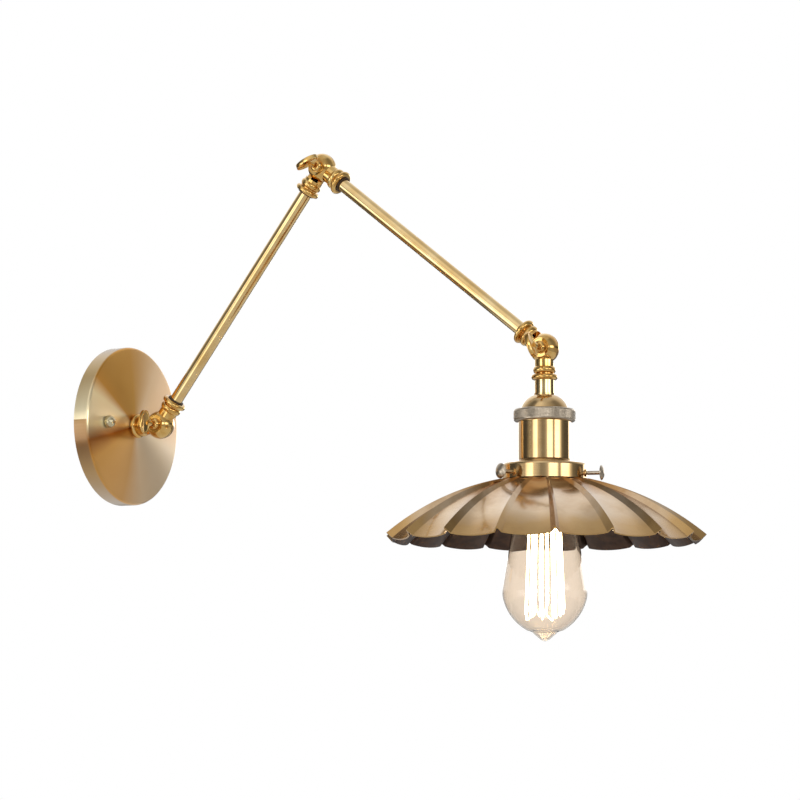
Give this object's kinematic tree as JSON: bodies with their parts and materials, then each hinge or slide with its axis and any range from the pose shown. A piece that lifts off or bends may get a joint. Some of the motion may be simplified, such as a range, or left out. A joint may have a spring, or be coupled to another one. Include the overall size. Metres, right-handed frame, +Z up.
{
  "type": "swing arm wall lamp",
  "caption": "Wall lamp with a round plate, two hinged arms on ball knuckles, a knurled socket and a pleated metal shade over a bulb.",
  "frame": {"origin": "centre of the wall plate on the wall plane", "axes": "-Y out from the wall, +Z up, +X to the right when looking at the wall"},
  "size_m": [0.2388, 0.5078, 0.3902],
  "materials": {
    "brass": "brushed, warm antique gold",
    "dark_brass": "antiqued grey-brown",
    "steel_zinc": "zinc plated",
    "fibre": "dark vulcanised fibre",
    "cable_sheath": "black sheath",
    "connector_plastic": "moulded",
    "holder_phenolic": "moulded phenolic",
    "nickel_cap": "nickel plated",
    "amber_glass": "clear, faint amber tint",
    "filament_wire": "glowing carbonised wire"
  },
  "bodies": {
    "wall_mount": {"back_plate": "brass", "wall_bracket": "steel_zinc", "plate_studs": "steel_zinc", "stud_nuts": "steel_zinc", "cap_nuts": "dark_brass", "earth_screw": "steel_zinc"},
    "swivel": {"swivel_stem": "brass", "spring_washer": "steel_zinc", "stem_nut": "steel_zinc", "wall_knuckle_rear": "brass", "wall_friction_washer": "fibre", "wall_pivot_nut": "brass", "swivel_cable": "cable_sheath", "supply_leads": "cable_sheath", "wire_connectors": "connector_plastic"},
    "lower_arm": {"wall_knuckle_front": "brass", "lower_arm_rod": "brass", "lower_rod_washers": "dark_brass", "lower_arm_cable": "cable_sheath", "elbow_rear": "brass", "elbow_friction_washer": "fibre", "elbow_pivot_nut": "brass"},
    "upper_arm": {"elbow_front": "brass", "upper_arm_rod": "brass", "upper_rod_washers": "dark_brass", "upper_arm_cable": "cable_sheath", "head_knuckle_rear": "brass", "head_friction_washer": "fibre", "head_pivot_nut": "brass"},
    "head": {"head_knuckle_front": "brass", "head_nipple": "steel_zinc", "head_spacer": "brass", "socket_cap": "brass", "nipple_nut": "steel_zinc", "knurled_ring": "dark_brass", "socket_shell": "brass", "lamp_holder": "holder_phenolic", "screw_shell": "brass", "centre_contact": "brass", "shade_fitter": "brass", "locking_ring": "steel_zinc", "head_cable": "cable_sheath", "head_leads": "cable_sheath", "shade": "brass"},
    "wall_thumb": {"wall_thumb_screw": "dark_brass"},
    "elbow_thumb": {"elbow_thumb_screw": "dark_brass"},
    "head_thumb": {"head_thumb_screw": "dark_brass"},
    "fitter_thumb_1": {"fitter_screw_1": "dark_brass"},
    "fitter_thumb_2": {"fitter_screw_2": "dark_brass"},
    "fitter_thumb_3": {"fitter_screw_3": "dark_brass"},
    "bulb": {"bulb_cap": "nickel_cap", "bulb_contact": "nickel_cap", "bulb_glass": "amber_glass", "bulb_mount": "amber_glass", "bulb_filament": "filament_wire"}
  },
  "joints": [
    {"name": "wall_swivel", "type": "hinge", "parent": "wall_mount", "child": "swivel", "pos_m": [0, 0, 0], "axis": [0, 1, 0], "range_deg": [-90, 90]},
    {"name": "wall_knuckle", "type": "hinge", "parent": "swivel", "child": "lower_arm", "pos_m": [0, -0.04, 0], "axis": [-1, 0, 0], "range_deg": [-60, 37]},
    {"name": "elbow_knuckle", "type": "hinge", "parent": "lower_arm", "child": "upper_arm", "pos_m": [0, -0.19142, 0.20094], "axis": [1, 0, 0], "range_deg": [-130, 15]},
    {"name": "head_knuckle", "type": "hinge", "parent": "upper_arm", "child": "head", "pos_m": [0, -0.38722, 0.04294], "axis": [-1, 0, 0], "range_deg": [-50, 120]},
    {"name": "wall_screw_turn", "type": "hinge", "parent": "swivel", "child": "wall_thumb", "pos_m": [0, -0.04, 0], "axis": [1, 0, 0], "range_deg": [0, 270]},
    {"name": "elbow_screw_turn", "type": "hinge", "parent": "lower_arm", "child": "elbow_thumb", "pos_m": [0, -0.19142, 0.20094], "axis": [1, 0, 0], "range_deg": [0, 270]},
    {"name": "head_screw_turn", "type": "hinge", "parent": "upper_arm", "child": "head_thumb", "pos_m": [0, -0.38722, 0.04294], "axis": [1, 0, 0], "range_deg": [0, 270]},
    {"name": "shade_screw_1_turn", "type": "hinge", "parent": "head", "child": "fitter_thumb_1", "pos_m": [0, -0.38722, -0.05246], "axis": [-0.9219, 0.3875, 0], "range_deg": [0, 360]},
    {"name": "shade_screw_2_turn", "type": "hinge", "parent": "head", "child": "fitter_thumb_2", "pos_m": [0, -0.38722, -0.05246], "axis": [0.1253, -0.9921, 0], "range_deg": [0, 360]},
    {"name": "shade_screw_3_turn", "type": "hinge", "parent": "head", "child": "fitter_thumb_3", "pos_m": [0, -0.38722, -0.05246], "axis": [0.7965, 0.6046, 0], "range_deg": [0, 360]},
    {"name": "bulb_turn", "type": "hinge", "parent": "head", "child": "bulb", "pos_m": [0, -0.38722, 0.04294], "axis": [0, 0, 1], "range_deg": [0, 360]}
  ]
}
